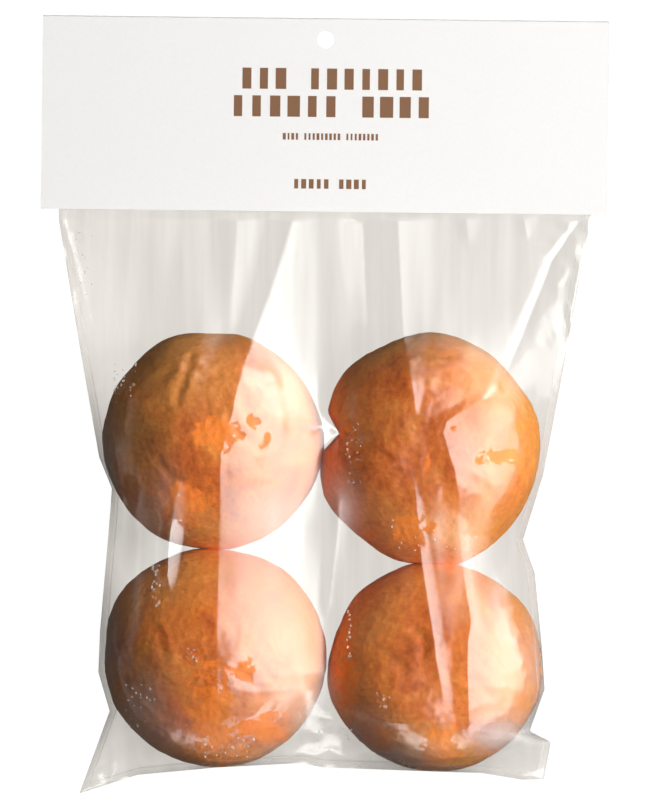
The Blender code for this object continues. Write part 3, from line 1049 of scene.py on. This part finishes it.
# Moisture
# Steam from the buns stands in small drops and bubbles that hang under the film, in loose groups.
# A group: (x from, x to, y from, y to, drops, size)
DROP_FIELDS = [
    (-0.0955, -0.0850, 0.0005, 0.0180, 26, 0.00055),
    (0.0095, 0.0168, -0.0360, -0.0075, 44, 0.00050),
    (-0.0782, -0.0740, -0.0910, -0.0710, 26, 0.00055),
    (-0.0628, -0.0568, -0.1170, -0.1096, 14, 0.00050),
    (0.0098, 0.0116, -0.1136, -0.0915, 20, 0.00050),
    (0.0228, 0.0288, -0.1360, -0.1290, 12, 0.00055),
    (-0.1130, -0.1050, 0.0460, 0.0780, 12, 0.00050),
    (-0.0560, -0.0300, -0.1590, -0.1500, 26, 0.00060),
    (-0.0900, -0.0760, -0.1480, -0.1250, 22, 0.00055),
    (0.0300, 0.0700, -0.0690, -0.0520, 18, 0.00050),
    (-0.0050, 0.0120, -0.1560, -0.1440, 14, 0.00055),
]
DROP_SEED = 11
DROP_FLATNESS = 0.45
DROP_LEAST, DROP_MOST = 0.35, 1.1
DROP_SHORT, DROP_LONG = 0.8, 1.5


def moisture_drops():
    """Every drop as a flattened ball that hangs under the upper film, in one piece."""
    draw = random.Random(DROP_SEED)
    flat_net = net.reshape(-1, 2)
    flat_heights = upper_heights.reshape(-1)
    bm = bmesh.new()
    for x0, x1, y0, y1, drops, size in DROP_FIELDS:
        for _ in range(drops):
            x, y = draw.uniform(x0, x1), draw.uniform(y0, y1)
            radius = size * draw.uniform(DROP_LEAST, DROP_MOST)
            over = flat_heights[np.hypot(flat_net[:, 0] - x, flat_net[:, 1] - y).argmin()]
            ball = bmesh.ops.create_icosphere(bm, subdivisions=2, radius=radius)["verts"]
            bmesh.ops.scale(bm, verts=ball, vec=(1, draw.uniform(DROP_SHORT, DROP_LONG), DROP_FLATNESS))
            half_height = DROP_FLATNESS * radius
            bmesh.ops.translate(bm, verts=ball, vec=(x, y, max(over - half_height, half_height)))
    return finished(bm, "moisture")


water, _, water_shader = new_material("drops of water")
water_shader.inputs["Base Color"].default_value = (1.0, 0.93, 0.84, 1)
water_shader.inputs["Roughness"].default_value = 0.12
water_shader.inputs["IOR"].default_value = 1.33
water_shader.inputs["Alpha"].default_value = 0.32
moisture = moisture_drops()
moisture.data.materials.append(water)
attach(moisture, "root")
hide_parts("bag")

# Header card
# A white board folded over the mouth of the bag, uncoated, with a punched hang hole.
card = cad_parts["header_card"]
BOARD_TONES = [(0.0, 0.724, 0.714, 0.702), (1.0, 0.796, 0.787, 0.775)]


def board_material():
    """Uncoated white board with fine fibres."""
    made, tree, shader = new_material("white board")
    fibres = mottling(tree, object_place(tree), scale=900.0, detail=4.0, roughness=0.7)
    tone = colour_ramp(tree, fibres, *BOARD_TONES)
    feed(tree, shader.inputs["Base Color"], tone)
    shader.inputs["Roughness"].default_value = 0.6
    bump = add_node(tree, "ShaderNodeBump", Strength=0.12, Distance=0.0001, Height=fibres)
    feed(tree, shader.inputs["Normal"], bump.outputs["Normal"])
    return made


card.data.materials.clear()
card.data.materials.append(board_material())

# Print
# The card's brown print: rows of plain upright blocks in groups, flat on the board.
# A row: its middle from the card's middle, its height, the step from block to block, and the blocks in
# each of its groups
PrintRow = namedtuple("PrintRow", "middle_x middle_y height pitch groups")
PRINT_ROWS = [
    PrintRow(0.0030, 0.0163, 0.0095, 0.0077, [3, 7]),
    PrintRow(0.0026, 0.0038, 0.0095, 0.0084, [6, 4]),
    PrintRow(0.0026, -0.0098, 0.0030, 0.0019, [4, 9, 8]),
    PrintRow(0.0026, -0.0312, 0.0043, 0.0034, [5, 4]),
]
PRINT_SEED = 7
PRINT_THICKNESS = 0.00003
PRINT_LIFT = 0.00002
BLOCK_SHARE, BLOCK_UNEVEN = 0.58, 0.30
GROUP_GAP = 1.0
CARD_TURN = math.radians(-0.65)
INK_TONES = [(0.0, 0.120, 0.048, 0.014), (1.0, 0.190, 0.080, 0.026)]
card_low, card_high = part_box("header_card")


def card_print():
    """Rows of thin blocks, group by group, turned with the card."""
    draw = random.Random(PRINT_SEED)
    middle = (Vector(card_low) + Vector(card_high)) / 2
    bm = bmesh.new()
    for row in PRINT_ROWS:
        length = (sum(row.groups) + GROUP_GAP * (len(row.groups) - 1)) * row.pitch
        x = row.middle_x - length / 2
        for blocks in row.groups:
            for _ in range(blocks):
                width = row.pitch * (BLOCK_SHARE + BLOCK_UNEVEN * (draw.random() - 0.5))
                block = bmesh.ops.create_cube(bm, size=1.0)["verts"]
                bmesh.ops.scale(bm, verts=block, vec=(width, row.height, PRINT_THICKNESS))
                bmesh.ops.translate(bm, verts=block, vec=(x + row.pitch / 2, row.middle_y, 0))
                x += row.pitch
            x += GROUP_GAP * row.pitch
    bmesh.ops.rotate(bm, verts=bm.verts, cent=(0, 0, 0), matrix=Matrix.Rotation(CARD_TURN, 3, "Z"))
    bmesh.ops.translate(bm, verts=bm.verts, vec=(middle.x, middle.y, card_high[2] + PRINT_LIFT))
    return finished(bm, "card_print", smooth=False)


def ink_material():
    """Flat brown ink, a little thin where the board's fibres stand up."""
    made, tree, shader = new_material("brown ink")
    fibres = mottling(tree, object_place(tree), scale=1500.0, detail=3.0, roughness=0.7)
    tone = colour_ramp(tree, fibres, *INK_TONES)
    feed(tree, shader.inputs["Base Color"], tone)
    shader.inputs["Roughness"].default_value = 0.5
    return made


brown_print = card_print()
brown_print.data.materials.append(ink_material())
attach(brown_print, "root")

# Studio
# A white table that glows but lights nothing, a key light high on the right with a weak broad fill, and
# white panels that only show where something mirrors them. The camera looks straight down, as the
# photograph looks at the front of the hanging pack.
TABLE_HALF_WIDTH, TABLE_Z = 4.0, -0.0002
PACK_MIDDLE = (0, 0, 0.03)
bm = bmesh.new()
bmesh.ops.create_grid(bm, x_segments=1, y_segments=1, size=TABLE_HALF_WIDTH)
table = finished(bm, "table", smooth=False)
table.location.z = TABLE_Z
table_white, _, table_shader = new_material("table white")
table_shader.inputs["Base Color"].default_value = (0.05, 0.05, 0.05, 1)
table_shader.inputs["Roughness"].default_value = 0.9
table_shader.inputs["Specular IOR Level"].default_value = 0.1
table_shader.inputs["Emission Color"].default_value = (1, 1, 1, 1)
table_shader.inputs["Emission Strength"].default_value = 1.0
table.data.materials.append(table_white)
table.visible_diffuse = False
table.visible_glossy = False


def softbox(name, middle, towards, width, height, radiance):
    """A rectangular light at a place, facing a point."""
    light = bpy.data.lights.new(name, "AREA")
    light.shape = "RECTANGLE"
    light.size = width
    light.size_y = height
    light.energy = radiance * width * height * math.pi
    lamp = bpy.data.objects.new(name, light)
    lamp.location = middle
    lamp.rotation_euler = (Vector(towards) - Vector(middle)).to_track_quat("-Z", "Y").to_euler()
    bpy.context.scene.collection.objects.link(lamp)
    return lamp


key_middle, key_towards = (3.00, 0.30, 2.50), (0, -0.03, 0.03)
key = softbox("key softbox", key_middle, key_towards, width=2.0, height=2.0, radiance=17.5)
fill = softbox("fill softbox", (0.6, -0.4, 3.1), PACK_MIDDLE, width=3.0, height=3.0, radiance=0.90)
for light in (key, fill):
    light.visible_glossy = False
    light.visible_camera = False

# Level white panels over the table: (x from, x to, y from, y to, radiance)
PANEL_Z, PANEL_STEP = 1.6, 0.01
PANELS = [
    (0.28, 0.70, -1.1, 0.6, 3.8),
    (0.70, 2.2, -1.1, 0.6, 5.0),
    (2.2, 20.0, -6.0, -1.1, 4.0),
    (2.2, 20.0, -1.1, 4.0, 6.5),
    (0.42, 2.2, 0.6, 1.5, 4.8),
    (5.0, 20.0, 4.0, 18.0, 4.6),
    (0.60, 5.0, 1.5, 25.0, 1.5),
    (0.12, 2.2, -8.0, 1.5, 0.8),
    (-0.3, 20.0, 1.5, 25.0, 0.9),
    (-2.0, -0.3, -8.0, -4.0, 1.5),
]
for number, (x0, x1, y0, y1, radiance) in enumerate(PANELS):
    middle = ((x0 + x1) / 2, (y0 + y1) / 2, PANEL_Z + PANEL_STEP * number)
    panel = softbox(f"panel {number}", middle, (middle[0], middle[1], 0), x1 - x0, y1 - y0, radiance)
    panel.visible_diffuse = False
    panel.visible_camera = False

# Upright panels far out, which only steep film mirrors
for name, middle, width, height, radiance in (
    ("front panel", (1.0, -6.0, 1.4), 8.0, 2.8, 3.5),
    ("left panel", (-6.0, 0.5, 1.0), 6.0, 1.2, 0.9),
    ("corner panel", (17.0, 15.0, 0.5), 18.0, 9.0, 4.6),
):
    panel = softbox(name, middle, PACK_MIDDLE, width, height, radiance)
    panel.visible_diffuse = False
    panel.visible_camera = False

world = bpy.data.worlds.new("studio")
world.use_nodes = True
world.node_tree.nodes["Background"].inputs["Color"].default_value = (1.0, 0.985, 0.97, 1)
world.node_tree.nodes["Background"].inputs["Strength"].default_value = 0.07
bpy.context.scene.world = world

CAMERA_X, CAMERA_Y, CAMERA_HEIGHT = 0.00405, 0.0018, 6.0
FRAME_HEIGHT = 0.360
SENSOR = 36.0
camera_data = bpy.data.cameras.new("camera")
camera_data.sensor_width = SENSOR
camera_data.lens = SENSOR * (CAMERA_HEIGHT - PACK_MIDDLE[2]) / FRAME_HEIGHT
camera_data.clip_end = 50
camera = bpy.data.objects.new("camera", camera_data)
camera.location = (CAMERA_X, CAMERA_Y, CAMERA_HEIGHT)
bpy.context.scene.collection.objects.link(camera)
bpy.context.scene.camera = camera
bpy.context.scene.view_settings.view_transform = "Standard"
bpy.context.scene.cycles.transparent_max_bounces = 16
